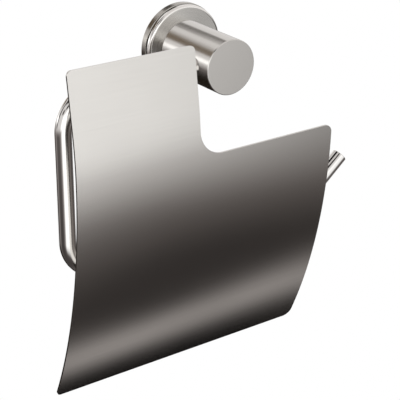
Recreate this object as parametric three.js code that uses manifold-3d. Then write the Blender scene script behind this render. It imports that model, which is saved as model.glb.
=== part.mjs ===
// Toilet paper holder with a hinged cover: a round wall foot and post, a bent wire for the roll, and a curved
// sheet cover that hangs on the wire's top run.
//
// Millimetres. The origin is the centre of the foot's back face, on the wall and on the post's axis.
// +X is to the right as seen from the room, +Y goes into the wall and +Z is up, so the holder is on the -Y
// side.

import * as THREE from 'three';
import * as BufferGeometryUtils from 'three/addons/utils/BufferGeometryUtils.js';
import Module from 'manifold-3d';

const wasm = await Module();
wasm.setup();

// ---------------------------------------------------------------- driving dimensions

// Clearances: between parts that are fixed to each other, and all round a part that turns or is cut to fit.
const SEAT_GAP = 0.1;
const RUNNING_GAP = 0.1;
const FREE_GAP = 0.3;

// How far a cutter goes past the surface that it cuts.
const OVERRUN = 1.0;

// Wall foot, in order from the wall outwards. Depths are measured from the wall.
const FOOT_RADIUS = 20.1;
const FOOT_RIM_DEPTH = 3.2;
const FOOT_EDGE_CHAMFER = 0.4;
const FOOT_STEP_RADIUS = 17.4;
const FOOT_STEP_DEPTH = 4.2;
const ROSETTE_BACK_DEPTH = 3.5;
const ROSETTE_LIP_RADIUS = 19.2;
const ROSETTE_RADIUS = 19.7;
const ROSETTE_LIP_DEPTH = 3.9;
const ROSETTE_EDGE_RADIUS = 1.4;
const ROSETTE_FACE_DEPTH = 6.0;
const ROSETTE_FACE_THICKNESS = 1.5;
const ROSETTE_WALL_INNER_RADIUS = 17.8;

// Holes for two wall screws of 4.5 mm with countersunk heads, on a level line.
const WALL_HOLE_SPACING = 25.4;
const WALL_HOLE_RADIUS = 2.3;
const WALL_COUNTERSINK_RADIUS = 4.3;
const WALL_COUNTERSINK_DEPTH = 2.0;

// Post, and the spigot inside it.
const POST_RADIUS = 12.7;
const POST_END_DEPTH = 41.7;
const POST_EDGE_CHAMFER = 0.4;
const POST_BORE_END_DEPTH = 25.5;
const SPIGOT_RADIUS = 8.0;
const SPIGOT_END_DEPTH = 24.0;
const SPIGOT_CHAMFER = 1.0;
const SPIGOT_GROOVE_RADIUS = 7.2;
const SPIGOT_GROOVE_HALF_WIDTH = 2.6;

// Countersunk M6 socket screw, from behind the wall plate into the spigot.
const M6_RADIUS = 3.0;
const M6_HEAD_RADIUS = 5.8;
const M6_HEAD_RECESS = 0.4;
const M6_LENGTH = 16.0;
const M6_POINT_CHAMFER = 0.8;
const M6_SOCKET_ACROSS_FLATS = 4.0;
const M6_SOCKET_DEPTH = 2.2;

// Pin between the wall plate and the spigot.
const PIN_RADIUS = 1.0;
const PIN_OFFSET = 5.6;
const PIN_BACK_DEPTH = 3.0;
const PIN_LENGTH = 4.0;

// M5 grub screws, in the underside of the post.
const GRUB_RADIUS = 2.4;
const GRUB_HOLE_RADIUS = 2.5;
const GRUB_SOCKET_ACROSS_FLATS = 2.5;
const GRUB_SOCKET_DEPTH = 2.0;
const GRUB_SUNK = 0.6;
const POST_GRUB_DEPTH = 14.0;
const ROD_GRUB_X = -3.0;

// Bent wire. Its centreline lies in one plane, parallel to the wall.
const ROD_RADIUS = 3.75;
const ROD_STANDOFF = 31.4;
const ROD_BEND_RADIUS = 17.5;
const ROD_INNER_END_X = 3.0;
const ROD_LEFT_X = -79.4;
const ROD_DROP = 84.4;
const ROD_TIP_X = 75.0;
const ROD_TIP_Z = -61.9;
const ROD_TIP_ANGLE = THREE.MathUtils.degToRad(40);
const ROD_HOLE_RADIUS = 3.9;

// Cover: a sheet curved in side view, as two arcs that meet at its foremost line. The upper arc runs on into
// a flat strip, which the hinge clips are fixed to.
const COVER_THICKNESS = 1.0;
const COVER_FRONT_DEPTH = 43.25;
const COVER_FRONT_Z = -35.5;
const COVER_UPPER_RADIUS = 161.0;
const COVER_FLAT_Z = -14.0;
const COVER_LOWER_RADIUS = 269.0;
const COVER_LEFT_X = -80.3;
const COVER_RIGHT_X = 58.6;
const COVER_TOP_Z = 12.4;
const COVER_BOTTOM_Z = -153.3;
const COVER_NOTCH_X = -17.1;
const COVER_NOTCH_Z = -38.4;
const COVER_RIGHT_CORNER_RADIUS = 4.0;
const COVER_CORNER_RADIUS = 2.4;
const COVER_NOTCH_RADIUS = 12.4;

// Hinge: two strap clips on the back of the cover, each round a bush on the rod's top run.
const BUSH_RADIUS = 5.5;
const BUSH_LENGTH = 14.0;
const CLIP_INNER_RADIUS = 5.6;
const CLIP_THICKNESS = 0.8;
const CLIP_LENGTH = 12.0;
const CLIP_FLANGE_REACH = 9.4;
const HINGE_LEFT_X = -54.5;
const HINGE_RIGHT_X = -26.0;

// Round pads between the cover and the lower bar.
const BUMPER_RADIUS = 4.0;
const BUMPER_LEFT_X = -40.0;
const BUMPER_RIGHT_X = 24.0;

// Fineness of the curved surfaces.
const TURNED_SEGMENTS = 64;
const SMALL_SEGMENTS = 32;
const WIRE_SIDES = 24;
const WIRE_BEND_STEPS = 10;
const SHEET_SEGMENTS = 28;
const CORNER_SEGMENTS = 8;
const EDGE_SEGMENTS = 6;

// ---------------------------------------------------------------- materials

const brushedSteel = (name) => new THREE.MeshStandardMaterial({
  name,
  color: 0xb5b0aa,
  metalness: 1.0,
  roughness: 0.34,
});

const polishedSteel = (name) => new THREE.MeshStandardMaterial({
  name,
  color: 0xd2d0cc,
  metalness: 1.0,
  roughness: 0.12,
});

const fastenerSteel = (name) => new THREE.MeshStandardMaterial({
  name,
  color: 0x5d5c5a,
  metalness: 1.0,
  roughness: 0.45,
});

const whitePlastic = (name) => new THREE.MeshStandardMaterial({
  name,
  color: 0xe6e4de,
  metalness: 0.0,
  roughness: 0.5,
});

const greyRubber = (name) => new THREE.MeshStandardMaterial({
  name,
  color: 0x46464a,
  metalness: 0.0,
  roughness: 0.8,
});

// ---------------------------------------------------------------- solids

// A closed three.js geometry as a solid that can be cut and joined.
function solid(geometry, matrix = new THREE.Matrix4()) {
  const placed = geometry.clone().applyMatrix4(matrix);
  placed.deleteAttribute('normal');
  placed.deleteAttribute('uv');
  const merged = BufferGeometryUtils.mergeVertices(placed, 1e-4);
  return new wasm.Manifold(new wasm.Mesh({
    numProp: 3,
    vertProperties: new Float32Array(merged.attributes.position.array),
    triVerts: new Uint32Array(merged.index.array),
  }));
}

// A named mesh in the scene graph, from a solid.
function part(name, body, material) {
  const mesh = body.getMesh();
  const geometry = new THREE.BufferGeometry();
  geometry.setAttribute('position', new THREE.BufferAttribute(mesh.vertProperties, 3));
  geometry.setIndex(new THREE.BufferAttribute(mesh.triVerts, 1));
  geometry.computeVertexNormals();
  const node = new THREE.Mesh(geometry, material(name));
  node.name = name;
  return node;
}

// A body of revolution about the post's axis. Each point is [radius, depth from the wall]. The outside of the
// section is listed from the wall outwards, and the section starts and ends on the axis.
function turned(points, segments = TURNED_SEGMENTS) {
  const profile = points.map(([radius, depth]) => new THREE.Vector2(radius, -depth)).reverse();
  return solid(new THREE.LatheGeometry(profile, segments));
}

// The same, for a section that is clear of the axis and closes on its first point.
function turnedRing(points, segments = TURNED_SEGMENTS) {
  return turned([...points, points[0]], segments);
}

// Section points down a rounded edge, from the side of a disc round to its front face.
function roundedEdge(radius, faceDepth, edgeRadius) {
  return Array.from({ length: EDGE_SEGMENTS + 1 }, (_, i) => {
    const turn = (Math.PI / 2) * (i / EDGE_SEGMENTS);
    return [
      radius - edgeRadius * (1 - Math.cos(turn)),
      faceDepth - edgeRadius * (1 - Math.sin(turn)),
    ];
  });
}

// A round bar between two points.
function bar(start, end, radius, segments = SMALL_SEGMENTS) {
  const along = new THREE.Vector3().subVectors(end, start);
  const middle = new THREE.Vector3().addVectors(start, end).multiplyScalar(0.5);
  const turn = new THREE.Quaternion().setFromUnitVectors(
    new THREE.Vector3(0, 1, 0),
    along.clone().normalize(),
  );
  const place = new THREE.Matrix4().compose(middle, turn, new THREE.Vector3(1, 1, 1));
  return solid(new THREE.CylinderGeometry(radius, radius, along.length(), segments), place);
}

// A hexagonal bar between two points, for a socket.
function hexagon(start, end, acrossFlats) {
  return bar(start, end, acrossFlats / Math.sqrt(3), 6);
}

// A flat outline in side view (shape x is Y, shape y is Z), made solid from x0 to x1.
function alongX(shape, x0, x1, curveSegments) {
  const geometry = new THREE.ExtrudeGeometry(shape, { depth: x1 - x0, bevelEnabled: false, curveSegments });
  const place = new THREE.Matrix4().makeBasis(
    new THREE.Vector3(0, 1, 0),
    new THREE.Vector3(0, 0, 1),
    new THREE.Vector3(1, 0, 0),
  );
  place.setPosition(x0, 0, 0);
  return solid(geometry, place);
}

// A flat outline in front view (shape x is X, shape y is Z), made solid between two depths from the wall.
function throughDepth(shape, nearDepth, farDepth, curveSegments) {
  const geometry = new THREE.ExtrudeGeometry(shape, {
    depth: farDepth - nearDepth,
    bevelEnabled: false,
    curveSegments,
  });
  const place = new THREE.Matrix4().makeBasis(
    new THREE.Vector3(1, 0, 0),
    new THREE.Vector3(0, 0, 1),
    new THREE.Vector3(0, -1, 0),
  );
  place.setPosition(0, -nearDepth, 0);
  return solid(geometry, place);
}

// ---------------------------------------------------------------- wall foot

function wallPlate() {
  const headSeatDepth = M6_HEAD_RECESS + M6_HEAD_RADIUS - M6_RADIUS;
  const disc = turnedRing([
    [M6_RADIUS + SEAT_GAP, FOOT_STEP_DEPTH],
    [M6_RADIUS + SEAT_GAP, headSeatDepth],
    [M6_HEAD_RADIUS + SEAT_GAP, M6_HEAD_RECESS],
    [M6_HEAD_RADIUS + SEAT_GAP, 0],
    [FOOT_RADIUS, 0],
    [FOOT_RADIUS, FOOT_RIM_DEPTH - FOOT_EDGE_CHAMFER],
    [FOOT_RADIUS - FOOT_EDGE_CHAMFER, FOOT_RIM_DEPTH],
    [FOOT_STEP_RADIUS, FOOT_RIM_DEPTH],
    [FOOT_STEP_RADIUS, FOOT_STEP_DEPTH],
  ]);
  const pinHole = bar(
    new THREE.Vector3(0, -(PIN_BACK_DEPTH - SEAT_GAP), PIN_OFFSET),
    new THREE.Vector3(0, -(FOOT_STEP_DEPTH + OVERRUN), PIN_OFFSET),
    PIN_RADIUS + SEAT_GAP,
  );
  let plate = disc.subtract(pinHole);
  for (const side of [-1, 1]) {
    plate = plate.subtract(wallScrewHole(side * WALL_HOLE_SPACING / 2));
  }
  return plate;
}

// A through hole for a wall screw, with its countersink in the front.
function wallScrewHole(x) {
  const seat = FOOT_STEP_DEPTH - WALL_COUNTERSINK_DEPTH;
  const cutter = turned([
    [0, -OVERRUN],
    [WALL_HOLE_RADIUS, -OVERRUN],
    [WALL_HOLE_RADIUS, seat],
    [WALL_COUNTERSINK_RADIUS, FOOT_STEP_DEPTH],
    [WALL_COUNTERSINK_RADIUS, FOOT_STEP_DEPTH + OVERRUN],
    [0, FOOT_STEP_DEPTH + OVERRUN],
  ], SMALL_SEGMENTS);
  return cutter.translate([x, 0, 0]);
}

function spigot() {
  const back = FOOT_STEP_DEPTH + SEAT_GAP;
  const boreEnd = M6_HEAD_RECESS + M6_LENGTH + OVERRUN;
  const groove = [-1, 1].map((side) => POST_GRUB_DEPTH + side * SPIGOT_GROOVE_HALF_WIDTH);
  const slope = SPIGOT_RADIUS - SPIGOT_GROOVE_RADIUS;
  const stub = turned([
    [0, boreEnd],
    [M6_RADIUS + SEAT_GAP, boreEnd],
    [M6_RADIUS + SEAT_GAP, back],
    [SPIGOT_RADIUS, back],
    [SPIGOT_RADIUS, groove[0] - slope],
    [SPIGOT_GROOVE_RADIUS, groove[0]],
    [SPIGOT_GROOVE_RADIUS, groove[1]],
    [SPIGOT_RADIUS, groove[1] + slope],
    [SPIGOT_RADIUS, SPIGOT_END_DEPTH - SPIGOT_CHAMFER],
    [SPIGOT_RADIUS - SPIGOT_CHAMFER, SPIGOT_END_DEPTH],
    [0, SPIGOT_END_DEPTH],
  ]);
  const pinHole = bar(
    new THREE.Vector3(0, -(back - OVERRUN), PIN_OFFSET),
    new THREE.Vector3(0, -(PIN_BACK_DEPTH + PIN_LENGTH + SEAT_GAP), PIN_OFFSET),
    PIN_RADIUS + SEAT_GAP,
  );
  return stub.subtract(pinHole);
}

function spigotScrew() {
  const headEnd = M6_HEAD_RECESS + M6_HEAD_RADIUS - M6_RADIUS;
  const end = M6_HEAD_RECESS + M6_LENGTH;
  const screw = turned([
    [0, M6_HEAD_RECESS],
    [M6_HEAD_RADIUS - SEAT_GAP, M6_HEAD_RECESS],
    [M6_RADIUS, headEnd - SEAT_GAP],
    [M6_RADIUS, end - M6_POINT_CHAMFER],
    [M6_RADIUS - M6_POINT_CHAMFER, end],
    [0, end],
  ], SMALL_SEGMENTS);
  const socket = hexagon(
    new THREE.Vector3(0, OVERRUN, 0),
    new THREE.Vector3(0, -(M6_HEAD_RECESS + M6_SOCKET_DEPTH), 0),
    M6_SOCKET_ACROSS_FLATS,
  );
  return screw.subtract(socket);
}

function locatingPin() {
  return bar(
    new THREE.Vector3(0, -PIN_BACK_DEPTH, PIN_OFFSET),
    new THREE.Vector3(0, -(PIN_BACK_DEPTH + PIN_LENGTH), PIN_OFFSET),
    PIN_RADIUS,
    SMALL_SEGMENTS / 2,
  );
}

function rosette() {
  const innerFace = ROSETTE_FACE_DEPTH - ROSETTE_FACE_THICKNESS;
  const holeRadius = SPIGOT_RADIUS + SEAT_GAP;
  return turnedRing([
    [holeRadius, ROSETTE_FACE_DEPTH],
    [holeRadius, innerFace],
    [ROSETTE_WALL_INNER_RADIUS, innerFace],
    [ROSETTE_WALL_INNER_RADIUS, ROSETTE_BACK_DEPTH],
    [ROSETTE_LIP_RADIUS, ROSETTE_BACK_DEPTH],
    [ROSETTE_LIP_RADIUS, ROSETTE_LIP_DEPTH],
    [ROSETTE_RADIUS, ROSETTE_LIP_DEPTH],
    ...roundedEdge(ROSETTE_RADIUS, ROSETTE_FACE_DEPTH, ROSETTE_EDGE_RADIUS),
  ]);
}

// ---------------------------------------------------------------- post

function post() {
  const back = ROSETTE_FACE_DEPTH + SEAT_GAP;
  const boreRadius = SPIGOT_RADIUS + SEAT_GAP;
  const body = turned([
    [0, POST_BORE_END_DEPTH],
    [boreRadius, POST_BORE_END_DEPTH],
    [boreRadius, back],
    [POST_RADIUS, back],
    [POST_RADIUS, POST_END_DEPTH - POST_EDGE_CHAMFER],
    [POST_RADIUS - POST_EDGE_CHAMFER, POST_END_DEPTH],
    [0, POST_END_DEPTH],
  ]);
  const rodHole = bar(
    new THREE.Vector3(-(POST_RADIUS + OVERRUN), -ROD_STANDOFF, 0),
    new THREE.Vector3(ROD_INNER_END_X + FREE_GAP, -ROD_STANDOFF, 0),
    ROD_HOLE_RADIUS,
  );
  return body
    .subtract(rodHole)
    .subtract(grubHole(0, POST_GRUB_DEPTH))
    .subtract(grubHole(ROD_GRUB_X, ROD_STANDOFF));
}

// A tapped hole, up from the underside of the post to its middle.
function grubHole(x, depth) {
  return bar(
    new THREE.Vector3(x, -depth, -(POST_RADIUS + OVERRUN)),
    new THREE.Vector3(x, -depth, 0),
    GRUB_HOLE_RADIUS,
  );
}

// A grub screw with its point at the height given, and its socket in the underside of the post.
function grubScrew(x, depth, pointZ) {
  const footZ = -Math.sqrt(POST_RADIUS ** 2 - x ** 2) + GRUB_SUNK;
  const foot = new THREE.Vector3(x, -depth, footZ);
  const point = new THREE.Vector3(x, -depth, pointZ);
  const socketStart = foot.clone().setZ(footZ - OVERRUN);
  const socketEnd = foot.clone().setZ(footZ + GRUB_SOCKET_DEPTH);
  return bar(foot, point, GRUB_RADIUS).subtract(hexagon(socketStart, socketEnd, GRUB_SOCKET_ACROSS_FLATS));
}

// ---------------------------------------------------------------- bent wire

// The wire's centreline as straight runs and round bends. Equal steps of the parameter are the stations of
// the bends, and each straight run is one step.
class WireLine extends THREE.Curve {
  constructor(start, heading) {
    super();
    this.stations = [];
    this.position = start.clone();
    this.heading = heading;
    this.mark();
  }

  direction() {
    return new THREE.Vector3(Math.cos(this.heading), 0, Math.sin(this.heading));
  }

  mark() {
    this.stations.push({ point: this.position.clone(), tangent: this.direction() });
  }

  straight(length) {
    this.position.addScaledVector(this.direction(), length);
    this.mark();
    return this;
  }

  // Turns left, seen from the room, by an angle in radians.
  bend(angle, radius, steps) {
    const step = angle / steps;
    const chord = 2 * radius * Math.sin(step / 2);
    for (let i = 0; i < steps; i += 1) {
      this.heading += step / 2;
      this.position.addScaledVector(this.direction(), chord);
      this.heading += step / 2;
      this.mark();
    }
    return this;
  }

  get steps() {
    return this.stations.length - 1;
  }

  getPoint(t, target = new THREE.Vector3()) {
    return target.copy(this.stations[Math.round(t * this.steps)].point);
  }

  getPointAt(u, target) {
    return this.getPoint(u, target);
  }

  getTangentAt(u, target = new THREE.Vector3()) {
    return target.copy(this.stations[Math.round(u * this.steps)].tangent);
  }
}

function rollRod() {
  const quarter = Math.PI / 2;
  const bendStartX = ROD_LEFT_X + ROD_BEND_RADIUS;
  const tipBendRise = ROD_BEND_RADIUS * (1 - Math.cos(ROD_TIP_ANGLE));
  const tipLength = (ROD_TIP_Z + ROD_DROP - tipBendRise) / Math.sin(ROD_TIP_ANGLE);
  const tipBendStartX = ROD_TIP_X - tipLength * Math.cos(ROD_TIP_ANGLE)
    - ROD_BEND_RADIUS * Math.sin(ROD_TIP_ANGLE);
  const tipBendSteps = Math.ceil(WIRE_BEND_STEPS * ROD_TIP_ANGLE / quarter);

  const line = new WireLine(new THREE.Vector3(ROD_INNER_END_X, -ROD_STANDOFF, 0), Math.PI)
    .straight(ROD_INNER_END_X - bendStartX)
    .bend(quarter, ROD_BEND_RADIUS, WIRE_BEND_STEPS)
    .straight(ROD_DROP - 2 * ROD_BEND_RADIUS)
    .bend(quarter, ROD_BEND_RADIUS, WIRE_BEND_STEPS)
    .straight(tipBendStartX - bendStartX)
    .bend(ROD_TIP_ANGLE, ROD_BEND_RADIUS, tipBendSteps)
    .straight(tipLength);

  const section = new THREE.Shape().absarc(0, 0, ROD_RADIUS, 0, 2 * Math.PI, false);
  return solid(new THREE.ExtrudeGeometry(section, {
    extrudePath: line,
    steps: line.steps,
    curveSegments: WIRE_SIDES,
    bevelEnabled: false,
  }));
}

// ---------------------------------------------------------------- cover

// The centre line of each of the sheet's two bends, as [Y, Z].
const upperCentreY = COVER_UPPER_RADIUS - COVER_FRONT_DEPTH;
const lowerCentreY = COVER_LOWER_RADIUS - COVER_FRONT_DEPTH;

// The tilt of the flat strip from upright.
const flatTilt = Math.asin((COVER_FLAT_Z - COVER_FRONT_Z) / COVER_UPPER_RADIUS);

// A point of the flat strip as [Y, Z], at a distance above its lower end and a depth behind its outer face.
function onFlatStrip(above, depth) {
  const radius = COVER_UPPER_RADIUS - depth;
  return [
    upperCentreY - radius * Math.cos(flatTilt) + above * Math.sin(flatTilt),
    COVER_FRONT_Z + radius * Math.sin(flatTilt) + above * Math.cos(flatTilt),
  ];
}

// The sheet in side view. It goes a little past the cover's top and bottom, which the outline then cuts.
function coverSection() {
  const lower = Math.asin((COVER_FRONT_Z - COVER_BOTTOM_Z + 2 * OVERRUN) / COVER_LOWER_RADIUS);
  const flatLength = (COVER_TOP_Z - COVER_FLAT_Z + 2 * OVERRUN) / Math.cos(flatTilt);
  const upperInner = COVER_UPPER_RADIUS - COVER_THICKNESS;
  const lowerInner = COVER_LOWER_RADIUS - COVER_THICKNESS;
  return new THREE.Shape()
    .moveTo(...onFlatStrip(flatLength, 0))
    .absarc(upperCentreY, COVER_FRONT_Z, COVER_UPPER_RADIUS, Math.PI - flatTilt, Math.PI, false)
    .absarc(lowerCentreY, COVER_FRONT_Z, COVER_LOWER_RADIUS, Math.PI, Math.PI + lower, false)
    .absarc(lowerCentreY, COVER_FRONT_Z, lowerInner, Math.PI + lower, Math.PI, true)
    .absarc(upperCentreY, COVER_FRONT_Z, upperInner, Math.PI, Math.PI - flatTilt, true)
    .lineTo(...onFlatStrip(flatLength, COVER_THICKNESS));
}

// The cover in front view: a rectangle with rounded corners, notched at its upper right.
function coverOutline() {
  const r = COVER_CORNER_RADIUS;
  const right = COVER_RIGHT_CORNER_RADIUS;
  const n = COVER_NOTCH_RADIUS;
  const quarter = Math.PI / 2;
  return new THREE.Shape()
    .absarc(COVER_LEFT_X + r, COVER_BOTTOM_Z + r, r, 2 * quarter, 3 * quarter, false)
    .absarc(COVER_RIGHT_X - right, COVER_BOTTOM_Z + right, right, 3 * quarter, 4 * quarter, false)
    .absarc(COVER_RIGHT_X - right, COVER_NOTCH_Z - right, right, 0, quarter, false)
    .absarc(COVER_NOTCH_X + n, COVER_NOTCH_Z + n, n, 3 * quarter, 2 * quarter, true)
    .absarc(COVER_NOTCH_X - r, COVER_TOP_Z - r, r, 0, quarter, false)
    .absarc(COVER_LEFT_X + r, COVER_TOP_Z - r, r, quarter, 2 * quarter, false);
}

function coverPlate() {
  const sheet = alongX(coverSection(), COVER_LEFT_X - OVERRUN, COVER_RIGHT_X + OVERRUN, SHEET_SEGMENTS);
  const outline = throughDepth(coverOutline(), 0, COVER_FRONT_DEPTH + OVERRUN, CORNER_SEGMENTS);
  return sheet.intersect(outline);
}

// Distance from a line along X to the back of the sheet, and the tilt of the sheet there from upright.
function backOfSheet(y, z) {
  const above = z > COVER_FRONT_Z;
  const centreY = above ? upperCentreY : lowerCentreY;
  const outerRadius = above ? COVER_UPPER_RADIUS : COVER_LOWER_RADIUS;
  const fromCentre = new THREE.Vector2(centreY - y, z - COVER_FRONT_Z);
  const tilt = z > COVER_FLAT_Z ? flatTilt : Math.atan2(fromCentre.y, fromCentre.x);
  const squareOut = new THREE.Vector2(Math.cos(tilt), Math.sin(tilt));
  return { distance: outerRadius - COVER_THICKNESS - fromCentre.dot(squareOut), tilt };
}

// Strap clip in side view, with the rod at the shape's origin and the sheet towards its -x: a half ring
// behind the rod, two legs forward, and a flange along the sheet above and below.
function clipSection() {
  const { distance } = backOfSheet(-ROD_STANDOFF, 0);
  const inner = CLIP_INNER_RADIUS;
  const outer = inner + CLIP_THICKNESS;
  const front = -(distance - FREE_GAP);
  const back = front + CLIP_THICKNESS;
  const quarter = Math.PI / 2;
  return new THREE.Shape()
    .moveTo(front, inner)
    .lineTo(front, CLIP_FLANGE_REACH)
    .lineTo(back, CLIP_FLANGE_REACH)
    .lineTo(back, outer)
    .lineTo(0, outer)
    .absarc(0, 0, outer, quarter, -quarter, true)
    .lineTo(back, -outer)
    .lineTo(back, -CLIP_FLANGE_REACH)
    .lineTo(front, -CLIP_FLANGE_REACH)
    .lineTo(front, -inner)
    .lineTo(0, -inner)
    .absarc(0, 0, inner, -quarter, quarter, false);
}

function hingeClip() {
  return alongX(clipSection(), -CLIP_LENGTH / 2, CLIP_LENGTH / 2, SMALL_SEGMENTS / 2);
}

// The bush's bore is measured across its flats, so that the rod turns in it.
function hingeBush() {
  const bore = (ROD_RADIUS + RUNNING_GAP) / Math.cos(Math.PI / SMALL_SEGMENTS);
  const end = new THREE.Vector3(BUSH_LENGTH / 2, 0, 0);
  const start = end.clone().negate();
  const boreEnd = end.clone().setX(end.x + OVERRUN);
  const boreStart = boreEnd.clone().negate();
  return bar(start, end, BUSH_RADIUS).subtract(bar(boreStart, boreEnd, bore));
}

// A round pad, with the bar's middle at its origin and the sheet towards its -Y.
function bumper() {
  const { distance } = backOfSheet(-ROD_STANDOFF, -ROD_DROP);
  return bar(
    new THREE.Vector3(0, -(ROD_RADIUS + FREE_GAP), 0),
    new THREE.Vector3(0, -(distance - FREE_GAP), 0),
    BUMPER_RADIUS,
  );
}

// Places a piece that is on the back of the sheet: the run of the rod that it faces is its origin, and it
// leans as the sheet does there.
function onSheetBack(node, x, z) {
  const { tilt } = backOfSheet(-ROD_STANDOFF, z);
  node.position.set(x, -ROD_STANDOFF, z);
  node.rotation.x = -tilt;
  return node;
}

// ---------------------------------------------------------------- assembly

const foot = new THREE.Group();
foot.add(
  part('wall_plate', wallPlate(), brushedSteel),
  part('spigot', spigot(), brushedSteel),
  part('spigot_screw', spigotScrew(), fastenerSteel),
  part('locating_pin', locatingPin(), fastenerSteel),
  part('rosette', rosette(), brushedSteel),
  part('post', post(), brushedSteel),
  part(
    'post_grub_screw',
    grubScrew(0, POST_GRUB_DEPTH, -(SPIGOT_GROOVE_RADIUS + FREE_GAP)),
    fastenerSteel,
  ),
  part('rod_grub_screw', grubScrew(ROD_GRUB_X, ROD_STANDOFF, -(ROD_RADIUS + FREE_GAP)), fastenerSteel),
);

const cover = new THREE.Group();
cover.add(
  part('cover_plate', coverPlate(), brushedSteel),
  onSheetBack(part('hinge_clip_left', hingeClip(), brushedSteel), HINGE_LEFT_X, 0),
  onSheetBack(part('hinge_clip_right', hingeClip(), brushedSteel), HINGE_RIGHT_X, 0),
  onSheetBack(part('hinge_bush_left', hingeBush(), whitePlastic), HINGE_LEFT_X, 0),
  onSheetBack(part('hinge_bush_right', hingeBush(), whitePlastic), HINGE_RIGHT_X, 0),
  onSheetBack(part('bumper_left', bumper(), greyRubber), BUMPER_LEFT_X, -ROD_DROP),
  onSheetBack(part('bumper_right', bumper(), greyRubber), BUMPER_RIGHT_X, -ROD_DROP),
);

const holder = new THREE.Group();
holder.add(foot, part('roll_rod', rollRod(), polishedSteel), cover);

export default holder;
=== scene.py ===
"""Toilet paper holder with a hinged cover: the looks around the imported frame.

Everything is in metres, in the frame's own axes: the origin is the centre of the foot on the wall, +X is to
the right as seen from the room, +Y goes into the wall and +Z is up.
"""

import math

import bmesh
import bpy
from mathutils import Matrix, Vector


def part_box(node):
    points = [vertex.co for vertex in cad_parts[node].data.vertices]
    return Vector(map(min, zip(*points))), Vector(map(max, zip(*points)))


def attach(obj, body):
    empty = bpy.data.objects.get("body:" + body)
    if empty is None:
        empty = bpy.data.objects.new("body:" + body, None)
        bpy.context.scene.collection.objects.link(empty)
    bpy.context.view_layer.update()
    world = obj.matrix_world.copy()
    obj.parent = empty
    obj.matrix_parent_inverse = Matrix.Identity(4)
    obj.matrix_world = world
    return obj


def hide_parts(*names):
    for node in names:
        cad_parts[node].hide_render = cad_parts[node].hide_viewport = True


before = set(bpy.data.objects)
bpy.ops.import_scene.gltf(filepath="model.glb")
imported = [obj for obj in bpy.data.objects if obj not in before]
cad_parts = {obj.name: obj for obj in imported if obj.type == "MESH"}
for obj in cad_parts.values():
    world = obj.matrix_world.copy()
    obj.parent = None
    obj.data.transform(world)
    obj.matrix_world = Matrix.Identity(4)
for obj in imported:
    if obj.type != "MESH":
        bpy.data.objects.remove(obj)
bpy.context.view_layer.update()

MM = 0.001

# ---------------------------------------------------------------- camera

CAMERA_TARGET = Vector((12.78, 0, -82.14)) * MM
CAMERA_DISTANCE = 638.36 * MM
CAMERA_LEFT_OF_FRONT = math.radians(35.08)
CAMERA_ELEVATION = math.radians(24.02)
CAMERA_ROLL = math.radians(0.15)
CAMERA_LENS_MM = 116.33
SENSOR_MM = 36


def make_camera():
    data = bpy.data.cameras.new("camera")
    data.sensor_width = SENSOR_MM
    data.lens = CAMERA_LENS_MM
    camera = bpy.data.objects.new("camera", data)
    bpy.context.scene.collection.objects.link(camera)
    level = math.cos(CAMERA_ELEVATION)
    back = Vector(
        (
            -math.sin(CAMERA_LEFT_OF_FRONT) * level,
            -math.cos(CAMERA_LEFT_OF_FRONT) * level,
            math.sin(CAMERA_ELEVATION),
        )
    )
    right = Vector((math.cos(CAMERA_LEFT_OF_FRONT), -math.sin(CAMERA_LEFT_OF_FRONT), 0))
    up = back.cross(right)
    axes = Matrix((right, up, back)).transposed().to_4x4()
    place = Matrix.Translation(CAMERA_TARGET + back * CAMERA_DISTANCE)
    camera.matrix_world = place @ axes @ Matrix.Rotation(CAMERA_ROLL, 4, "Z")
    bpy.context.scene.camera = camera


make_camera()

# ---------------------------------------------------------------- sizes, from the frame where it has them

BODY_FIXED = "frame"
BODY_COVER = "cover"

plate_lo, plate_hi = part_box("wall_plate")
rosette_lo, rosette_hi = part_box("rosette")
post_lo, post_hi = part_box("post")
rod_lo, rod_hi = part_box("roll_rod")
cover_lo, cover_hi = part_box("cover_plate")

FOOT_RADIUS = plate_hi.x
FOOT_STEP_Y = plate_lo.y
FOOT_RIM_Y = -3.2 * MM
FOOT_STEP_RADIUS = 17.4 * MM
FOOT_CONE_RADIUS = 5.9 * MM
FOOT_CONE_Y = -0.4 * MM
FOOT_BORE_RADIUS = 3.1 * MM
FOOT_BORE_Y = -3.2 * MM

WALL_HOLE_X = 12.7 * MM
WALL_HOLE_RADIUS = 2.3 * MM
WALL_HOLE_HEAD_RADIUS = 4.3 * MM
WALL_HOLE_SEAT_Y = -2.2 * MM

ROSETTE_RADIUS = rosette_hi.x
ROSETTE_BACK_Y = rosette_hi.y
ROSETTE_FACE_Y = rosette_lo.y
ROSETTE_LIP_RADIUS = 19.2 * MM
ROSETTE_LIP_Y = -3.9 * MM
ROSETTE_EDGE = 1.4 * MM
ROSETTE_INNER_RADIUS = 17.8 * MM
ROSETTE_INNER_Y = -4.5 * MM
ROSETTE_HOLE_RADIUS = 8.1 * MM

GROOVE_RADIUS = 19.65 * MM
GROOVE_MARGIN = 0.05 * MM

POST_RADIUS = post_hi.x
POST_BACK_Y = post_hi.y
POST_FRONT_Y = post_lo.y
POST_BORE_Y = -25.5 * MM
POST_CHAMFER = 0.28 * MM
POST_GRUB_Y = -14 * MM
GRUB_HOLE_RADIUS = 2.5 * MM

ROD_RADIUS = rod_hi.z
ROD_Y = (rod_lo.y + rod_hi.y) / 2
ROD_LEFT_X = rod_lo.x + ROD_RADIUS
ROD_BAR_Z = rod_lo.z + ROD_RADIUS
ROD_BEND_RADIUS = 17.5 * MM
ROD_INNER_X = 3 * MM
ROD_TIP_X = 75.0 * MM
ROD_TIP_Z = -61.9 * MM
ROD_TIP_ANGLE = math.radians(40)
ROD_EDGE = 0.35 * MM
ROD_HOLE_RADIUS = 3.9 * MM
ROD_HOLE_END_X = 3.3 * MM
ROD_GRUB_X = -3 * MM

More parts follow.
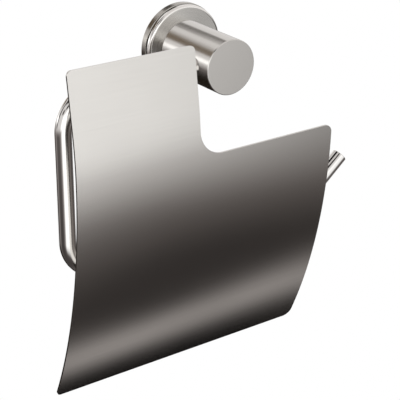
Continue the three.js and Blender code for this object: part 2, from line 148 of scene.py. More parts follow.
SHEET = 1.0 * MM
COVER_FRONT_Z = -35.5 * MM
COVER_UPPER_RADIUS = 161 * MM
COVER_FLAT_Z = -14 * MM
COVER_LOWER_RADIUS = 269 * MM
COVER_NOTCH_X = -17.1 * MM
COVER_NOTCH_Z = -38.4 * MM
COVER_RIGHT_CORNER = 4.0 * MM
COVER_CORNER = 2.4 * MM
COVER_NOTCH_CORNER = 12.4 * MM
COVER_EDGE = 0.22 * MM
COVER_ROW = 1.5 * MM

BUSH_RADIUS = 5.5 * MM
BUSH_BORE = 3.85 * MM
BUSH_HALF_LENGTH = 7 * MM
CLIP_INNER_RADIUS = 5.6 * MM
CLIP_SHEET = 0.8 * MM
CLIP_REACH = 9.4 * MM
CLIP_FOLD = 0.7 * MM
CLIP_CORNER = 1.8 * MM
CLIP_HALF_WIDTH = 6 * MM
CLIP_GAP = 0.08 * MM
PAD_RADIUS = 4 * MM
PAD_BACK_GAP = 0.05 * MM
PAD_WIRE_GAP = 0.25 * MM

SCREW_HEAD_RADIUS = 5.7 * MM
SCREW_HEAD_Y = -0.4 * MM
SCREW_CONE_Y = -3.2 * MM
SCREW_END_Y = -16.4 * MM
SCREW_RADIUS = 3 * MM
SCREW_SOCKET_DEPTH = 2.2 * MM
SCREW_SOCKET = 4 * MM
GRUB_SOCKET_DEPTH = 2 * MM
GRUB_SOCKET = 2.5 * MM
GRUB_EDGE = 0.3 * MM

# How far a cutter goes past the face that it starts from.
PAST = 1 * MM

# Edges sharper than this stay sharp in the shading.
SHARP_EDGE = math.radians(40)

# ---------------------------------------------------------------- mesh building


def rounded(corners, closed=True, step=math.radians(9)):
    """A polyline through corners of (u, v) or (u, v, radius): each corner with a radius becomes an arc."""
    line = []
    count = len(corners)
    for i, corner in enumerate(corners):
        here = Vector(corner[:2])
        radius = corner[2] if len(corner) > 2 else 0
        at_end = not closed and i in (0, count - 1)
        if radius == 0 or at_end:
            line.append(here)
            continue
        towards_last = (Vector(corners[i - 1][:2]) - here).normalized()
        towards_next = (Vector(corners[(i + 1) % count][:2]) - here).normalized()
        half = towards_last.angle(towards_next) / 2
        middle = (towards_last + towards_next).normalized()
        centre = here + middle * radius / math.sin(half)
        first = here + towards_last * radius / math.tan(half) - centre
        sweep = math.pi - 2 * half
        turn = math.copysign(1, first.cross(here + towards_next * radius / math.tan(half) - centre))
        steps = max(2, math.ceil(sweep / step))
        for k in range(steps + 1):
            line.append(centre + Matrix.Rotation(turn * sweep * k / steps, 2) @ first)
    return line


def arc(centre, radius, start, end, steps):
    """Points on an arc in the plane, with the angles in degrees."""
    angles = [math.radians(start + (end - start) * k / steps) for k in range(steps + 1)]
    return [Vector(centre) + radius * Vector((math.cos(a), math.sin(a))) for a in angles]


def skin(bm, rings, closed_along):
    """Joins rings of points with quads. A ring of one point is a pole."""
    made = [[bm.verts.new(p) for p in ring] for ring in rings]
    pairs = list(zip(made, made[1:] + made[:1] if closed_along else made[1:]))
    for lower, upper in pairs:
        sides = max(len(lower), len(upper))
        for k in range(sides):
            following = (k + 1) % sides
            loop = [lower[k % len(lower)], lower[following % len(lower)]]
            loop += [upper[following % len(upper)], upper[k % len(upper)]]
            bm.faces.new(dict.fromkeys(loop))


def lathe(profile, steps=128, place=None):
    """A body turned about Y. The profile is (radius, y), closed, or open with both ends on the axis."""
    bm = bmesh.new()
    turns = [2 * math.pi * k / steps for k in range(steps)]
    rings = []
    for radius, y in profile:
        if radius < 1e-9:
            rings.append([Vector((0, y, 0))])
        else:
            rings.append([Vector((radius * math.cos(t), y, radius * math.sin(t))) for t in turns])
    skin(bm, rings, closed_along=profile[0][0] > 1e-9)
    if place:
        bm.transform(place)
    return bm


def prism(outline, start, end, to_space):
    """A flat outline made solid between two heights. to_space turns (u, v, height) into a point."""
    bm = bmesh.new()
    ends = [[bm.verts.new(to_space(u, v, h)) for u, v in outline] for h in (start, end)]
    bm.faces.new(reversed(ends[0]))
    bm.faces.new(ends[1])
    for k in range(len(outline)):
        following = (k + 1) % len(outline)
        bm.faces.new((ends[0][k], ends[0][following], ends[1][following], ends[1][k]))
    return bm


def link(name, bm):
    bmesh.ops.recalc_face_normals(bm, faces=bm.faces)
    mesh = bpy.data.meshes.new(name)
    bm.to_mesh(mesh)
    bm.free()
    piece = bpy.data.objects.new(name, mesh)
    bpy.context.scene.collection.objects.link(piece)
    return piece


def settle(piece):
    """Makes the modifiers' result the piece's own mesh."""
    bpy.context.view_layer.update()
    seen = piece.evaluated_get(bpy.context.evaluated_depsgraph_get())
    mesh = bpy.data.meshes.new_from_object(seen)
    mesh.name = piece.name
    piece.modifiers.clear()
    piece.data = mesh


def cut(piece, *cutters):
    """Takes each cutter's solid out of the piece."""
    for k, bm in enumerate(cutters):
        cutter = link(f"cutter_{k}", bm)
        boolean = piece.modifiers.new("cut", "BOOLEAN")
        boolean.operation = "DIFFERENCE"
        boolean.solver = "EXACT"
        boolean.object = cutter
        settle(piece)
        bpy.data.objects.remove(cutter)


def bevel(piece, width, segments=3, angle=math.radians(35)):
    modifier = piece.modifiers.new("edges", "BEVEL")
    modifier.width = width
    modifier.segments = segments
    modifier.limit_method = "ANGLE"
    modifier.angle_limit = angle
    modifier.use_clamp_overlap = True


def finish_piece(piece, material, body, slot, *nodes, others=()):
    """Gives a piece its shading, its material and its body, and hides the CAD nodes that it stands for. Each
    of the others is a second material and the test for the faces that it is on."""
    piece.data.materials.clear()
    piece.data.materials.append(material)
    for index, (other, is_on) in enumerate(others, 1):
        piece.data.materials.append(other)
        for face in piece.data.polygons:
            if is_on(face):
                face.material_index = index
    piece.data.shade_smooth()
    piece.data.set_sharp_from_angle(angle=SHARP_EDGE)
    even = piece.modifiers.new("even_shading", "WEIGHTED_NORMAL")
    even.keep_sharp = True
    # The photo shows only the post and the cover in the other pieces. Those two turn this on again.
    piece.visible_glossy = False
    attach(piece, body)
    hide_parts(*nodes)


# ---------------------------------------------------------------- materials

# A noise's values are mostly between these two.
NOISE_LOW = 0.3
NOISE_HIGH = 0.7

# How fine the noises are: cells per metre, and cells per radian along a turning mark.
SHEET_ALONG = 25.0
SHEET_ACROSS = 2500.0
TURNED_ACROSS = 3000.0
TURNED_ALONG = 1.2
WIRE_GRAIN = (60, 900, 60)
CLOUDS = 28.0
MOULD_CLOUDS = 250.0

# How much of the steel's unevenness comes from its grain, and how much from its clouds.
GRAIN_SHARE = 0.6
CLOUDS_SHARE = 0.4


def node(tree, kind, inputs=None, **settings):
    """A shader node. An input's value is a number, a tuple, or another node's output to link."""
    made = tree.nodes.new(kind)
    for key, value in settings.items():
        setattr(made, key, value)
    for key, value in (inputs or {}).items():
        if isinstance(value, bpy.types.NodeSocket):
            tree.links.new(value, made.inputs[key])
        else:
            made.inputs[key].default_value = value
    return made


def maths(tree, operation, *values):
    return node(tree, "ShaderNodeMath", dict(enumerate(values)), operation=operation).outputs[0]


def noise(tree, vector, scale, detail=3.0, roughness=0.55):
    inputs = {"Vector": vector, "Scale": scale, "Detail": detail, "Roughness": roughness}
    return node(tree, "ShaderNodeTexNoise", inputs).outputs["Fac"]


def spread(tree, value, low, high):
    """Turns a noise value into the range from low to high."""
    inputs = {"Value": value, "From Min": NOISE_LOW, "From Max": NOISE_HIGH, "To Min": low, "To Max": high}
    return node(tree, "ShaderNodeMapRange", inputs).outputs["Result"]


def tinted(tree, factor, first, second):
    made = node(tree, "ShaderNodeMix", {"Factor": factor}, data_type="RGBA")
    made.inputs[6].default_value = (*first, 1)
    made.inputs[7].default_value = (*second, 1)
    return made.outputs[2]


def new_material(name):
    material = bpy.data.materials.new(name)
    material.use_nodes = True
    tree = material.node_tree
    tree.nodes.clear()
    shader = node(tree, "ShaderNodeBsdfPrincipled")
    output = node(tree, "ShaderNodeOutputMaterial")
    tree.links.new(shader.outputs["BSDF"], output.inputs["Surface"])
    return material, tree, shader


def place_on_piece(tree):
    """The point in the piece's own metres, whole and as x, y and z."""
    whole = node(tree, "ShaderNodeTexCoord").outputs["Object"]
    split = node(tree, "ShaderNodeSeparateXYZ", {"Vector": whole})
    return whole, split.outputs["X"], split.outputs["Y"], split.outputs["Z"]


def combine(tree, x, y, z):
    return node(tree, "ShaderNodeCombineXYZ", {"X": x, "Y": y, "Z": z}).outputs["Vector"]


def bump(tree, height, distance):
    return node(tree, "ShaderNodeBump", {"Height": height, "Distance": distance}).outputs["Normal"]


def steel(name, lines, light, dark, roughness, line_depth, anisotropic=0.0, tangent=None):
    """Stainless steel with a fine grain. lines(tree) gives the vector that the grain's noise reads, which
    is stretched so that the noise comes out as lines."""
    material, tree, shader = new_material(name)
    whole, *_ = place_on_piece(tree)
    grain = noise(tree, lines(tree), 1.0, detail=6.0, roughness=0.6)
    clouds = noise(tree, whole, CLOUDS, detail=4.0)
    from_grain = maths(tree, "MULTIPLY", grain, GRAIN_SHARE)
    worn = maths(tree, "ADD", from_grain, maths(tree, "MULTIPLY", clouds, CLOUDS_SHARE))
    low, high = roughness
    tree.links.new(tinted(tree, spread(tree, worn, 0, 1), dark, light), shader.inputs["Base Color"])
    tree.links.new(spread(tree, worn, high, low), shader.inputs["Roughness"])
    tree.links.new(bump(tree, grain, line_depth), shader.inputs["Normal"])
    shader.inputs["Metallic"].default_value = 1.0
    shader.inputs["Anisotropic"].default_value = anisotropic
    if tangent:
        shader.inputs["Anisotropic Rotation"].default_value = 0.25
        tree.links.new(tangent(tree), shader.inputs["Tangent"])
    return material


def lines_along_x(tree):
    _, x, y, z = place_on_piece(tree)
    return combine(
        tree,
        maths(tree, "MULTIPLY", x, SHEET_ALONG),
        maths(tree, "MULTIPLY", y, SHEET_ACROSS),
        maths(tree, "MULTIPLY", z, SHEET_ACROSS),
    )


def lines_round_y(tree):
    """Turning marks: rings about the post's axis, on its side and on its faces alike."""
    _, x, y, z = place_on_piece(tree)
    squares = [maths(tree, "POWER", value, 2.0) for value in (x, z)]
    radius = maths(tree, "POWER", maths(tree, "ADD", *squares), 0.5)
    turn = maths(tree, "ARCTAN2", z, x)
    return combine(
        tree,
        maths(tree, "MULTIPLY", radius, TURNED_ACROSS),
        maths(tree, "MULTIPLY", y, TURNED_ACROSS),
        maths(tree, "MULTIPLY", turn, TURNED_ALONG),
    )


def lines_along_wire(tree):
    whole, *_ = place_on_piece(tree)
    return node(tree, "ShaderNodeVectorMath", {0: whole, 1: WIRE_GRAIN}, operation="MULTIPLY").outputs[0]


def round_y(tree):
    """The direction of the turning marks."""
    return node(tree, "ShaderNodeTangent", direction_type="RADIAL", axis="Y").outputs[0]


def dielectric(name, light, dark, roughness, grain_size, depth):
    """Moulded plastic or rubber: a fine mould texture and slightly uneven colour and gloss."""
    material, tree, shader = new_material(name)
    whole, *_ = place_on_piece(tree)
    fine = noise(tree, whole, 1 / grain_size, detail=2.0)
    broad = noise(tree, whole, MOULD_CLOUDS, detail=3.0)
    low, high = roughness
    tree.links.new(tinted(tree, spread(tree, broad, 0, 1), dark, light), shader.inputs["Base Color"])
    tree.links.new(spread(tree, fine, low, high), shader.inputs["Roughness"])
    tree.links.new(bump(tree, fine, depth), shader.inputs["Normal"])
    return material


STEEL_LIGHT = (0.69, 0.67, 0.64)
STEEL_DARK = (0.66, 0.64, 0.61)

sheet_steel = steel("satin_sheet", lines_along_x, STEEL_LIGHT, STEEL_DARK, (0.145, 0.175), 0.0005 * MM)
turned_steel = steel(
    "turned_steel", lines_round_y, STEEL_LIGHT, STEEL_DARK, (0.14, 0.20), 0.002 * MM, 0.7, round_y
)
# The rosette's face: ringed steel, darker than the same steel on the post as painted shade from the post and
# the cover in front of it.
ringed_steel_painted_shade = steel(
    "ringed_steel_painted_shade",
    lines_round_y,
    (0.58, 0.565, 0.54),
    (0.54, 0.525, 0.50),
    (0.25, 0.30),
    0.002 * MM,
    0.8,
    round_y,
)
# The rosette's polished edge and side: the low roughness is the polish, and the tone lighter than the same
# steel elsewhere is a painted highlight.
rim_steel_painted_highlight = steel(
    "rim_steel_painted_highlight", lines_round_y, (0.90, 0.88, 0.85), (0.84, 0.82, 0.79), (0.07, 0.10), 0.0005 * MM
)
# Painted shade: the base disc's steel is darker than the same turned steel on the post, standing in for the
# shade close to the wall.
plate_steel_painted_shade = steel(
    "plate_steel_painted_shade", lines_round_y, (0.45, 0.43, 0.40), (0.42, 0.40, 0.37), (0.13, 0.18), 0.001 * MM
)
# Painted shade: near-black steel on the faces in the narrow groove behind the rosette's edge, standing in
# for the shadow there.
groove_painted_shade = steel(
    "groove_painted_shade", lines_round_y, (0.05, 0.045, 0.04), (0.03, 0.03, 0.03), (0.4, 0.5), 0.002 * MM
)
faced_steel = steel("faced_steel", lines_round_y, STEEL_LIGHT, STEEL_DARK, (0.24, 0.27), 0.0002 * MM)
wire_steel = steel(
    "polished_wire", lines_along_wire, (0.78, 0.77, 0.75), (0.72, 0.70, 0.68), (0.03, 0.05), 0.0005 * MM
)
clip_steel = steel(
    "clip_strip", lines_along_x, (0.66, 0.65, 0.63), (0.55, 0.54, 0.52), (0.28, 0.40), 0.004 * MM
)
screw_steel = steel(
    "screw_steel", lines_round_y, (0.38, 0.375, 0.36), (0.26, 0.255, 0.25), (0.32, 0.48), 0.005 * MM
)
bush_plastic = dielectric(
    "bush_plastic", (0.82, 0.81, 0.77), (0.74, 0.73, 0.69), (0.42, 0.55), 0.25 * MM, 0.01 * MM
)
pad_rubber = dielectric(
    "pad_rubber", (0.055, 0.055, 0.06), (0.035, 0.035, 0.038), (0.6, 0.8), 0.2 * MM, 0.02 * MM
)

# ---------------------------------------------------------------- foot and post


def looks_along_post(face):
    """Whether a face is one of a turned piece's flat ends."""
    return abs(face.normal.y) > 0.95


def in_groove(face):
    """Whether a face is in the narrow groove between the base disc and the rosette's edge, where the shade
    is painted on.
    """
    middle = face.center
    radius = math.hypot(middle.x, middle.z)
    return radius < GROOVE_RADIUS and ROSETTE_LIP_Y - GROOVE_MARGIN < middle.y < FOOT_RIM_Y + GROOVE_MARGIN


def make_base_disc():
    profile = rounded(
        [
            (FOOT_BORE_RADIUS, FOOT_STEP_Y),
            (FOOT_BORE_RADIUS, FOOT_BORE_Y),
            (FOOT_CONE_RADIUS, FOOT_CONE_Y),
            (FOOT_CONE_RADIUS, 0),
            (FOOT_RADIUS, 0, 0.2 * MM),
            (FOOT_RADIUS, FOOT_RIM_Y, 0.25 * MM),
            # The rim face is split here, so that the groove's painted shade ends at the groove.
            (GROOVE_RADIUS, FOOT_RIM_Y),
            (FOOT_STEP_RADIUS, FOOT_RIM_Y),
            (FOOT_STEP_RADIUS, FOOT_STEP_Y, 0.2 * MM),
        ]
    )
    wall_hole = [
        (0, PAST),
        (WALL_HOLE_RADIUS, PAST),
        (WALL_HOLE_RADIUS, WALL_HOLE_SEAT_Y),
        (WALL_HOLE_HEAD_RADIUS, FOOT_STEP_Y),
        (WALL_HOLE_HEAD_RADIUS, FOOT_STEP_Y - PAST),
        (0, FOOT_STEP_Y - PAST),
    ]
    disc = link("base_disc", lathe(profile))
    for x in (-WALL_HOLE_X, WALL_HOLE_X):
        cut(disc, lathe(wall_hole, 48, Matrix.Translation((x, 0, 0))))
    # The groove's faces get the near-black painted shade.
    others = [(groove_painted_shade, in_groove)]
    # The base disc's darker steel is painted shade.
    finish_piece(disc, plate_steel_painted_shade, BODY_FIXED, "turned_steel", "wall_plate", others=others)


def make_rosette():
    profile = rounded(
        [
            (ROSETTE_HOLE_RADIUS, ROSETTE_FACE_Y),
            (ROSETTE_HOLE_RADIUS, ROSETTE_INNER_Y),
            (ROSETTE_INNER_RADIUS, ROSETTE_INNER_Y),
            (ROSETTE_INNER_RADIUS, ROSETTE_BACK_Y),
            (ROSETTE_LIP_RADIUS, ROSETTE_BACK_Y, 0.1 * MM),
            (ROSETTE_LIP_RADIUS, ROSETTE_LIP_Y),
            (ROSETTE_RADIUS, ROSETTE_LIP_Y, 0.1 * MM),
            (ROSETTE_RADIUS, ROSETTE_FACE_Y, ROSETTE_EDGE),
        ]
    )
    disc = link("rosette_disc", lathe(profile))
    # The rosette's face gets the darker ringed steel and the groove's faces the near-black steel, both
    # painted shade.
    others = [(ringed_steel_painted_shade, looks_along_post), (groove_painted_shade, in_groove)]
    # The rest of the rosette gets the polished steel with its painted highlight.
    finish_piece(disc, rim_steel_painted_highlight, BODY_FIXED, "turned_steel", "rosette", others=others)


def cylinder(start, end, radius, steps=48):
    """A plain round cutter between two points."""
    along = Vector(end) - Vector(start)
    place = Matrix.Translation(start) @ Vector((0, 1, 0)).rotation_difference(along).to_matrix().to_4x4()
    return lathe([(0, 0), (radius, 0), (radius, along.length), (0, along.length)], steps, place)


def make_post():
    profile = rounded(
        [
            (0, POST_BORE_Y),
            (ROSETTE_HOLE_RADIUS, POST_BORE_Y),
            (ROSETTE_HOLE_RADIUS, POST_BACK_Y),
            (POST_RADIUS, POST_BACK_Y, 0.15 * MM),
            (POST_RADIUS, POST_FRONT_Y + POST_CHAMFER, 0.15 * MM),
            (POST_RADIUS - POST_CHAMFER, POST_FRONT_Y, 0.15 * MM),
            (0, POST_FRONT_Y),
        ],
        closed=False,
    )
    post = link("post_bar", lathe(profile, 192))
    outside = -POST_RADIUS - PAST
    cut(
        post,
        cylinder((outside, ROD_Y, 0), (ROD_HOLE_END_X, ROD_Y, 0), ROD_HOLE_RADIUS, 64),
        cylinder((0, POST_GRUB_Y, outside), (0, POST_GRUB_Y, 0), GRUB_HOLE_RADIUS),
        cylinder((ROD_GRUB_X, ROD_Y, outside), (ROD_GRUB_X, ROD_Y, 0), GRUB_HOLE_RADIUS),
    )
    others = [(faced_steel, looks_along_post)]
    finish_piece(post, turned_steel, BODY_FIXED, "turned_steel", "post", others=others)
    post.visible_glossy = True


# ---------------------------------------------------------------- wire


def wire_path():
    """The wire's centreline as (point, direction) stations, from inside the post to its free end."""
    position = Vector((ROD_INNER_X, ROD_Y, 0))
    heading = math.pi
    stations = [(position.copy(), heading)]

    def straight(length):
        position.x += length * math.cos(heading)
        position.z += length * math.sin(heading)
        stations.append((position.copy(), heading))

    def bend(angle, steps):
        nonlocal heading
        for _ in range(steps):
            chord = 2 * ROD_BEND_RADIUS * math.sin(angle / steps / 2)
            heading += angle / steps / 2
            position.x += chord * math.cos(heading)
            position.z += chord * math.sin(heading)
            heading += angle / steps / 2
            stations.append((position.copy(), heading))

    bend_start_x = ROD_LEFT_X + ROD_BEND_RADIUS
    rise = ROD_BEND_RADIUS * (1 - math.cos(ROD_TIP_ANGLE))
    tip_length = (ROD_TIP_Z - ROD_BAR_Z - rise) / math.sin(ROD_TIP_ANGLE)
    tip_bend_x = ROD_TIP_X - tip_length * math.cos(ROD_TIP_ANGLE) - ROD_BEND_RADIUS * math.sin(ROD_TIP_ANGLE)
    straight(ROD_INNER_X - bend_start_x)
    bend(math.pi / 2, 36)
    straight(-ROD_BAR_Z - 2 * ROD_BEND_RADIUS)
    bend(math.pi / 2, 36)
    straight(tip_bend_x - bend_start_x)
    bend(ROD_TIP_ANGLE, 18)
    straight(tip_length)
    return stations


def make_wire():
    bm = bmesh.new()
    sides = 64
    stations = wire_path()
    rings = []

    def ring(point, heading, radius, back=0.0):
        forward = Vector((math.cos(heading), 0, math.sin(heading)))
        across = Vector((-math.sin(heading), 0, math.cos(heading)))
        level = Vector((0, 1, 0))
        centre = point + forward * back
        turns = [2 * math.pi * k / sides for k in range(sides)]
        rings.append([centre + radius * (math.cos(t) * across + math.sin(t) * level) for t in turns])

    first, last = stations[0], stations[-1]
    ease = [math.pi / 2 * k / 5 for k in range(6)]
    rings.append([first[0]])
    for a in ease:
        ring(*first, ROD_RADIUS - ROD_EDGE * (1 - math.sin(a)), ROD_EDGE * (1 - math.cos(a)))
    for station in stations[1:-1]:
        ring(*station, ROD_RADIUS)
    for a in reversed(ease):
        ring(*last, ROD_RADIUS - ROD_EDGE * (1 - math.sin(a)), -ROD_EDGE * (1 - math.cos(a)))
    rings.append([last[0]])
    skin(bm, rings, closed_along=False)
    wire = link("wire_arm", bm)
    finish_piece(wire, wire_steel, BODY_FIXED, "polished_wire", "roll_rod")


# ---------------------------------------------------------------- cover

FLAT_TILT = math.asin((COVER_FLAT_Z - COVER_FRONT_Z) / COVER_UPPER_RADIUS)


def bend_at(z):
    """Radius of the sheet's outer face at a height, and the y of that bend's centre line."""
    radius = COVER_UPPER_RADIUS if z > COVER_FRONT_Z else COVER_LOWER_RADIUS
    return radius, cover_lo.y + radius


def sheet_y(z):
    """The y of the sheet's outer face at a height. Its top strip is flat."""
    radius, centre = bend_at(z)
    bent_z = min(z, COVER_FLAT_Z)
    y = centre - math.sqrt(radius**2 - (bent_z - COVER_FRONT_Z) ** 2)
    return y + (z - bent_z) * math.tan(FLAT_TILT)


def make_cover():
    outline = rounded(
        [
            (cover_lo.x, cover_lo.z, COVER_CORNER),
            (cover_hi.x, cover_lo.z, COVER_RIGHT_CORNER),
            (cover_hi.x, COVER_NOTCH_Z, COVER_RIGHT_CORNER),
            (COVER_NOTCH_X, COVER_NOTCH_Z, COVER_NOTCH_CORNER),
            (COVER_NOTCH_X, cover_hi.z, COVER_CORNER),
            (cover_lo.x, cover_hi.z, COVER_CORNER),
        ],
        step=math.radians(5),
    )
    bm = bmesh.new()
    bm.faces.new([bm.verts.new((x, 0, z)) for x, z in outline])
    for k in range(1, math.ceil((cover_hi.z - cover_lo.z) / COVER_ROW)):
        level = (0, 0, cover_lo.z + k * COVER_ROW)
        everything = [*bm.verts, *bm.edges, *bm.faces]
        bmesh.ops.bisect_plane(bm, geom=everything, dist=1e-6, plane_co=level, plane_no=(0, 0, 1))
    for vert in bm.verts:
        vert.co.y = sheet_y(vert.co.z)
    bmesh.ops.recalc_face_normals(bm, faces=bm.faces)
    bm.faces.ensure_lookup_table()
    if bm.faces[0].normal.y > 0:
        bmesh.ops.reverse_faces(bm, faces=bm.faces)
    mesh = bpy.data.meshes.new("cover_sheet")
    bm.to_mesh(mesh)
    bm.free()
    cover = bpy.data.objects.new("cover_sheet", mesh)
    bpy.context.scene.collection.objects.link(cover)
    solid = cover.modifiers.new("sheet", "SOLIDIFY")
    solid.thickness = SHEET
    solid.offset = -1
    solid.use_even_offset = True
    settle(cover)
    bevel(cover, COVER_EDGE, 3, math.radians(60))
    settle(cover)
    finish_piece(cover, sheet_steel, BODY_COVER, "cover_sheet", "cover_plate")
    cover.visible_glossy = True


# ---------------------------------------------------------------- hinge and pads


def sheet_frame(x, z):
    """A frame on the wire whose -Y goes square to the sheet, and how far the sheet's back is from there."""
    radius, centre = bend_at(z)
    from_centre = Vector((centre - ROD_Y, z - COVER_FRONT_Z))
    tilt = FLAT_TILT if z > COVER_FLAT_Z else math.atan2(from_centre.y, from_centre.x)
    square_out = Vector((math.cos(tilt), math.sin(tilt)))
    place = Matrix.Translation((x, ROD_Y, z)) @ Matrix.Rotation(-tilt, 4, "X")
    return place, radius - SHEET - from_centre.dot(square_out)


def mirrored(points):
    """The same corners below the middle line, in the order that carries on round the section."""
    return [(p[0], -p[1], *p[2:]) for p in reversed(points)]


def make_clip(side, x):
    """A strap round the bush, folded out above and below into a flange that lies on the flat strip."""
    place, distance = sheet_frame(x, 0)
    front = -(distance - CLIP_GAP)
    back = front + CLIP_SHEET
    outer = CLIP_INNER_RADIUS + CLIP_SHEET
    upper_front = [(front, CLIP_REACH), (front, CLIP_INNER_RADIUS, CLIP_FOLD + CLIP_SHEET)]
    upper_back = [(back, outer, CLIP_FOLD), (back, CLIP_REACH)]
    section = [
        *upper_front,
        *arc((0, 0), CLIP_INNER_RADIUS, 90, -90, 24),
        *mirrored(upper_front),
        *mirrored(upper_back),
        *arc((0, 0), outer, -90, 90, 24),
        *upper_back,
    ]
    outline = rounded(section, step=math.radians(12))
    bm = prism(outline, -CLIP_HALF_WIDTH, CLIP_HALF_WIDTH, lambda u, v, h: Vector((h, u, v)))
    corners = [
        e
        for e in bm.edges
        if all(abs(abs(v.co.x) - CLIP_HALF_WIDTH) < 1e-7 for v in e.verts)
        and all(abs(abs(v.co.z) - CLIP_REACH) < 1e-6 for v in e.verts)
    ]
    bmesh.ops.bevel(bm, geom=corners, offset=CLIP_CORNER, segments=6, profile=0.5, affect="EDGES")
    bm.transform(place)
    clip = link(f"clip_{side}", bm)
    bevel(clip, 0.12 * MM, 2)
    settle(clip)
    finish_piece(clip, clip_steel, BODY_COVER, "clip_sheet", f"hinge_clip_{side}")


def make_bush(side, x):
    place, _ = sheet_frame(x, 0)
    profile = rounded(
        [
            (BUSH_BORE, -BUSH_HALF_LENGTH, 0.3 * MM),
            (BUSH_RADIUS, -BUSH_HALF_LENGTH, 0.5 * MM),
            (BUSH_RADIUS, BUSH_HALF_LENGTH, 0.5 * MM),
            (BUSH_BORE, BUSH_HALF_LENGTH, 0.3 * MM),
        ]
    )
    bush = link(f"bush_{side}", lathe(profile, 72, place @ Matrix.Rotation(math.pi / 2, 4, "Z")))
    finish_piece(bush, bush_plastic, BODY_COVER, "bush_plastic", f"hinge_bush_{side}")


def make_bumper(side, x):
    place, distance = sheet_frame(x, ROD_BAR_Z)
    back = -distance + PAD_BACK_GAP
    front = -ROD_RADIUS - PAD_WIRE_GAP
    profile = rounded(
        [(0, back), (PAD_RADIUS, back, 0.1 * MM), (PAD_RADIUS, front, 0.6 * MM), (0, front)],
        closed=False,
    )
    pad = link(f"pad_{side}", lathe(profile, 64, place))
    finish_piece(pad, pad_rubber, BODY_COVER, "bumper_rubber", f"bumper_{side}")


# ---------------------------------------------------------------- screws


def hexagon(start, end, across_flats):
    return cylinder(start, end, across_flats / math.sqrt(3), 6)


def make_spigot_screw():
    point = 0.8 * MM
    profile = rounded(
        [
            (0, SCREW_HEAD_Y),
            (SCREW_HEAD_RADIUS, SCREW_HEAD_Y, 0.15 * MM),
            (SCREW_RADIUS, SCREW_CONE_Y),
            (SCREW_RADIUS, SCREW_END_Y + point, 0.1 * MM),
            (SCREW_RADIUS - point, SCREW_END_Y, 0.1 * MM),
            (0, SCREW_END_Y),
        ],
        closed=False,
    )
    screw = link("socket_screw", lathe(profile, 64))
    cut(screw, hexagon((0, PAST, 0), (0, SCREW_HEAD_Y - SCREW_SOCKET_DEPTH, 0), SCREW_SOCKET))
    bevel(screw, 0.08 * MM, 2)
    settle(screw)
    finish_piece(screw, screw_steel, BODY_FIXED, "screw_steel", "spigot_screw")


def make_grub(name, node_name):
    lo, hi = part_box(node_name)
    middle = (lo + hi) / 2
    radius = (hi.x - lo.x) / 2
    place = Matrix.Translation((middle.x, middle.y, lo.z)) @ Matrix.Rotation(math.pi / 2, 4, "X")
    length = hi.z - lo.z
    ends = [(radius, 0, GRUB_EDGE), (radius, length, GRUB_EDGE)]
    profile = rounded([(0, 0), *ends, (0, length)], closed=False)
    grub = link(name, lathe(profile, 48, place))
    mouth = (middle.x, middle.y, lo.z - PAST)
    bottom = (middle.x, middle.y, lo.z + GRUB_SOCKET_DEPTH)
    cut(grub, hexagon(mouth, bottom, GRUB_SOCKET))
    bevel(grub, 0.06 * MM, 2)
    settle(grub)
    finish_piece(grub, screw_steel, BODY_FIXED, "screw_steel", node_name)


def dress_hidden_nodes():
    """The two inner pieces that keep their CAD shape."""
    for name, material in (("spigot", turned_steel), ("locating_pin", screw_steel)):
        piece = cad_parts[name]
        piece.data.materials.clear()
        piece.data.materials.append(material)


make_base_disc()
make_rosette()
make_post()
make_wire()
make_cover()
for side_name in ("left", "right"):
    clip_lo, clip_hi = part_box(f"hinge_clip_{side_name}")
    make_clip(side_name, (clip_lo.x + clip_hi.x) / 2)
    make_bush(side_name, (clip_lo.x + clip_hi.x) / 2)
    pad_lo, pad_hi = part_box(f"bumper_{side_name}")
    make_bumper(side_name, (pad_lo.x + pad_hi.x) / 2)
make_spigot_screw()
make_grub("post_grub", "post_grub_screw")
make_grub("wire_grub", "rod_grub_screw")
dress_hidden_nodes()

# ---------------------------------------------------------------- floor and light

FLOOR_BELOW = 0.75
FLOOR_HALF = 12.0

# Past this azimuth, on the wall's side, the dark parts are browner.
BROWN_PAST = 130
BROWN_RED_BLUE = (0.35, 0.35)
WARM_RED_BLUE = (0.14, 0.04)

# Soft light all round, as brightness at heights in degrees.
SKY = [(-90, 0.14), (-60, 0.06), (-38, 0.11), (-18, 0.28), (0, 0.84), (30, 0.84), (90, 0.67)]

# Soft boxes and dark flags: azimuth and elevation of the middle, half width, half height and soft edge in
# degrees, and brightness. Azimuth 0 is towards the room, and 90 is to the right.
CARDS = [
    ("room_softbox", -12, -5, 36, 30, 12, 1.47),
    ("room_right", 30, 0, 21, 23, 11, 1.16),
    ("right_flag", 75, -13, 36, 15, 12, 0.05),
    ("left_flag", -94, -46, 25, 29, 12, 0.06),
    ("left_softbox", -45, 6, 18, 14, 5, 1.50),
    ("left_upper_flag", -120, 56, 27, 14, 5, 0.01),
    ("left_stripe", -118, 20, 7, 26, 4, 0.03),
    ("top_flag", -36, 47, 12, 9, 3, 0.01),
    ("middle_flag", -60, 36, 10, 5, 3, 0.04),
    ("side_flag", -81, 27, 10, 5, 3, 0.10),
    ("low_softbox", 64, -57, 10, 9, 7, 0.55),
    ("low_flag", 49, -48, 12, 11, 7, 0.03),
    ("low_right_flag", 95, -66, 26, 14, 8, 0.0),
    ("back_left_flag", -156, 27, 17, 7, 3, 0.14),
    ("back_left_softbox", -133, 6, 11, 5, 4, 1.92),
    ("back_right_flag", 162, 32, 11, 5, 3, 0.03),
    ("back_low_flag", 180, -30, 37, 20, 11, 0.01),
    ("back_softbox", 174, -12, 18, 14, 7, 1.50),
    ("right_back_softbox", 110, -38, 7, 7, 6, 0.74),
]


def light_colour(level, azimuth=0):
    """Grey for a brightness. The darker it is, the more red it gains and the more blue it loses."""
    dark = max(0.0, 1.0 - level)
    more_red, less_blue = BROWN_RED_BLUE if abs(azimuth) > BROWN_PAST else WARM_RED_BLUE
    return (level * (1 + more_red * dark), level, level * (1 - less_blue * dark), 1)


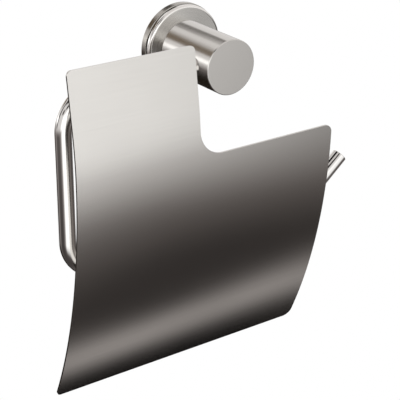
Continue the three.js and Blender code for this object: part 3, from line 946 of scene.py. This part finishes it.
def studio_light():
    world = bpy.data.worlds.new("studio")
    bpy.context.scene.world = world
    world.use_nodes = True
    tree = world.node_tree
    tree.nodes.clear()
    direction = node(tree, "ShaderNodeTexCoord").outputs["Generated"]
    split = node(tree, "ShaderNodeSeparateXYZ", {"Vector": direction})
    towards_room = maths(tree, "MULTIPLY", split.outputs["Y"], -1.0)
    azimuth = maths(tree, "DEGREES", maths(tree, "ARCTAN2", split.outputs["X"], towards_room))
    elevation = maths(tree, "DEGREES", maths(tree, "ARCSINE", split.outputs["Z"]))

    from_below = maths(tree, "DIVIDE", maths(tree, "ADD", elevation, 90.0), 180.0)
    ramp = node(tree, "ShaderNodeValToRGB", {"Fac": from_below})
    ramp.color_ramp.interpolation = "EASE"
    stops = ramp.color_ramp.elements
    while len(stops) < len(SKY):
        stops.new(0.5)
    for stop, (height, level) in zip(stops, SKY):
        stop.position = (height + 90) / 180
        stop.color = light_colour(level)
    light = ramp.outputs["Color"]

    def window(value, middle, half, edge):
        past_middle = maths(tree, "WRAP", maths(tree, "SUBTRACT", value, middle), 180.0, -180.0)
        away = maths(tree, "ABSOLUTE", past_middle)
        inputs = {"Value": away, "From Min": half + edge, "From Max": half - edge}
        return node(tree, "ShaderNodeMapRange", inputs, interpolation_type="SMOOTHSTEP").outputs["Result"]

    for _, middle, height, half_width, half_height, edge, level in CARDS:
        factor = maths(
            tree,
            "MULTIPLY",
            window(azimuth, middle, half_width, edge),
            window(elevation, height, half_height, edge),
        )
        mix = node(tree, "ShaderNodeMix", {"Factor": factor}, data_type="RGBA")
        tree.links.new(light, mix.inputs[6])
        mix.inputs[7].default_value = light_colour(level, middle)
        light = mix.outputs[2]

    seen = node(tree, "ShaderNodeBackground", {"Color": (1, 1, 1, 1), "Strength": 1.0}).outputs[0]
    lit = node(tree, "ShaderNodeBackground", {"Color": light, "Strength": 1.0}).outputs[0]
    by_camera = node(tree, "ShaderNodeLightPath").outputs["Is Camera Ray"]
    both = node(tree, "ShaderNodeMixShader", {"Fac": by_camera, 1: lit, 2: seen}).outputs[0]
    node(tree, "ShaderNodeOutputWorld", {"Surface": both})


def make_floor():
    """A plain white floor well below the holder, lit evenly."""
    bm = bmesh.new()
    corners = [(-1, -1), (1, -1), (1, 1), (-1, 1)]
    bm.faces.new([bm.verts.new((x * FLOOR_HALF, y * FLOOR_HALF, -FLOOR_BELOW)) for x, y in corners])
    floor = link("floor", bm)
    material = bpy.data.materials.new("floor")
    material.use_nodes = True
    tree = material.node_tree
    tree.nodes.clear()
    glow = node(tree, "ShaderNodeEmission", {"Color": (1, 1, 1, 1), "Strength": 1.0}).outputs[0]
    node(tree, "ShaderNodeOutputMaterial", {"Surface": glow})
    floor.data.materials.append(material)
    floor.visible_glossy = False
    floor.visible_diffuse = False


studio_light()
make_floor()
bpy.context.scene.view_settings.view_transform = "Standard"
